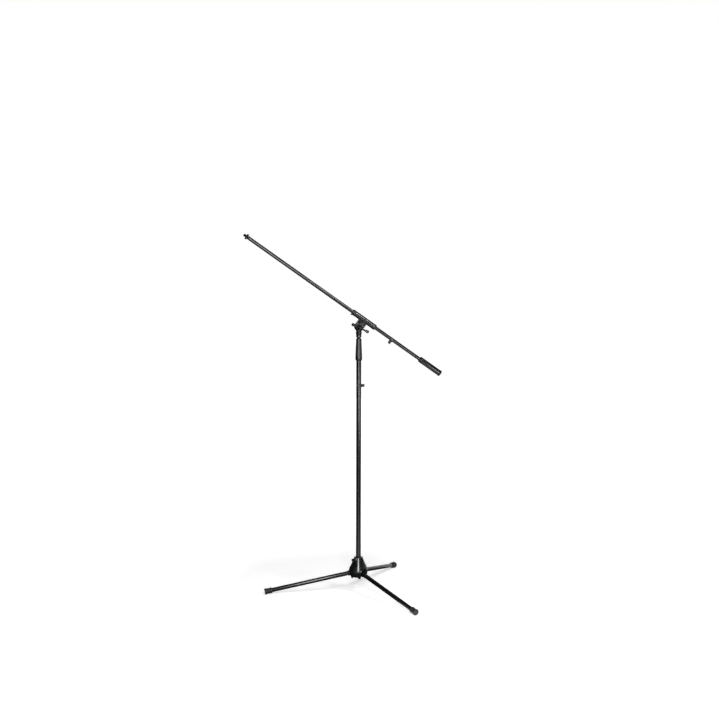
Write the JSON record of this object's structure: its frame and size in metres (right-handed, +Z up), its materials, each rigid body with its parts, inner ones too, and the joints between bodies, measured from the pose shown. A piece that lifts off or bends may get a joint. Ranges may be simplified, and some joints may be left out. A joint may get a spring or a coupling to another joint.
{
  "type": "boom microphone stand",
  "caption": "Floor stand for a microphone: folding tripod base, telescopic mast, tilting swivel clamp and a sliding counterweighted boom with a threaded tip.",
  "frame": {"origin": "on the floor, at the centre of the stand's plan view; the mast axis stands at x = 50 mm, y = -16 mm", "axes": "+Z up along the mast, +X the way the counterweight points in plan (within 9 degrees), -Y the side of the T-bar handle"},
  "size_m": [0.6818, 0.5799, 1.2673],
  "materials": {
    "powder_coat": "fine-textured black powder coat on steel tube, satin",
    "cast_paint": "smooth black paint on zinc die casting, semi-gloss",
    "black_nylon": "moulded black nylon, satin",
    "black_rubber": "moulded black rubber, matt",
    "black_steel": "blackened steel, satin",
    "bright_steel": "zinc-plated steel, turned",
    "acetal": "natural acetal, satin"
  },
  "bodies": {
    "base": {"base_casting": "cast_paint", "leg_pin_left": "bright_steel", "leg_pin_front": "bright_steel", "leg_pin_rear": "bright_steel"},
    "leg_left": {"leg_knuckle_left": "black_steel", "leg_tube_left": "powder_coat", "foot_cap_left": "black_rubber"},
    "leg_front": {"leg_knuckle_front": "black_steel", "leg_tube_front": "powder_coat", "foot_cap_front": "black_rubber"},
    "leg_rear": {"leg_knuckle_rear": "black_steel", "leg_tube_rear": "powder_coat", "foot_cap_rear": "black_rubber"},
    "base_clamp": {"base_clamp_stud": "bright_steel", "base_clamp_knob": "black_nylon"},
    "mast": {"mast_tube": "powder_coat", "mast_foot_plug": "black_nylon", "lock_plate": "black_steel", "lock_plate_screw": "bright_steel", "clutch_ferrule": "black_steel", "clutch_collet": "acetal"},
    "clutch": {"clutch_grip": "black_nylon"},
    "mast_clip": {"mast_cable_clip": "black_nylon"},
    "inner_mast": {"inner_tube": "powder_coat", "inner_tube_glide": "acetal", "mast_top_stud": "black_steel"},
    "swivel": {"swivel_socket": "cast_paint", "friction_disc_front": "bright_steel", "friction_disc_rear": "bright_steel", "pivot_nut": "bright_steel"},
    "t_bar": {"t_bar_screw": "black_steel", "t_bar_rod": "black_steel", "t_bar_end_left": "black_nylon", "t_bar_end_right": "black_nylon"},
    "boom_clamp": {"boom_clamp_body": "cast_paint", "boom_clamp_cover": "cast_paint", "clamp_bush_front": "black_nylon", "clamp_bush_rear": "black_nylon", "clamp_plunger": "bright_steel"},
    "boom": {"boom_tube": "powder_coat", "boom_tip_stud": "black_steel", "counterweight": "powder_coat", "counterweight_cap": "black_rubber"},
    "lock_ring": {"tip_lock_ring": "black_steel"},
    "boom_clip": {"boom_cable_clip": "black_nylon"}
  },
  "joints": [
    {"name": "leg_left_fold", "type": "hinge", "parent": "base", "child": "leg_left", "pos_m": [0.02364, -0.01877, 0.071], "axis": [-0.1045, 0.9945, 0], "range_deg": [0, 101]},
    {"name": "leg_front_fold", "type": "hinge", "parent": "base", "child": "leg_front", "pos_m": [0.06558, -0.03744, 0.071], "axis": [-0.809, -0.5878, 0], "range_deg": [0, 101]},
    {"name": "leg_rear_fold", "type": "hinge", "parent": "base", "child": "leg_rear", "pos_m": [0.06078, 0.00821, 0.071], "axis": [0.9135, -0.4067, 0], "range_deg": [0, 101]},
    {"name": "base_clamp_turn", "type": "hinge", "parent": "base", "child": "base_clamp", "pos_m": [0.03194, -0.0347, 0.1205], "axis": [-0.6947, -0.7193, 0], "range_deg": [0, 360]},
    {"name": "mast_in_base", "type": "slide", "parent": "base", "child": "mast", "axis": [0, 0, 1], "range_m": [-0.012, 0]},
    {"name": "clutch_twist", "type": "hinge", "parent": "mast", "child": "clutch", "pos_m": [0.05, -0.016, 0.865], "axis": [0, 0, 1], "range_deg": [0, 120]},
    {"name": "mast_clip_slide", "type": "slide", "parent": "mast", "child": "mast_clip", "axis": [0, 0, 1], "range_m": [-0.25, 0.07]},
    {"name": "mast_extend", "type": "slide", "parent": "mast", "child": "inner_mast", "axis": [0, 0, 1], "range_m": [0, 0.7]},
    {"name": "swivel_turn", "type": "hinge", "parent": "inner_mast", "child": "swivel", "pos_m": [0.05, -0.016, 0.92], "axis": [0, 0, 1], "continuous": true},
    {"name": "t_bar_turn", "type": "hinge", "parent": "swivel", "child": "t_bar", "pos_m": [0.05, -0.016, 0.943], "axis": [0.1564, -0.9877, 0], "range_deg": [0, 360]},
    {"name": "boom_tilt", "type": "hinge", "parent": "swivel", "child": "boom_clamp", "pos_m": [0.05, -0.016, 0.943], "axis": [-0.1564, 0.9877, 0], "range_deg": [-120, 50]},
    {"name": "boom_slide", "type": "slide", "parent": "boom_clamp", "child": "boom", "axis": [0.8021, 0.127, -0.5835], "range_m": [-0.03, 0.43]},
    {"name": "lock_ring_turn", "type": "hinge", "parent": "boom", "child": "lock_ring", "pos_m": [-0.32876, -0.07599, 1.25674], "axis": [0.8021, 0.127, -0.5835], "continuous": true},
    {"name": "boom_clip_slide", "type": "slide", "parent": "boom", "child": "boom_clip", "axis": [0.8021, 0.127, -0.5835], "range_m": [-0.03, 0.11]}
  ]
}
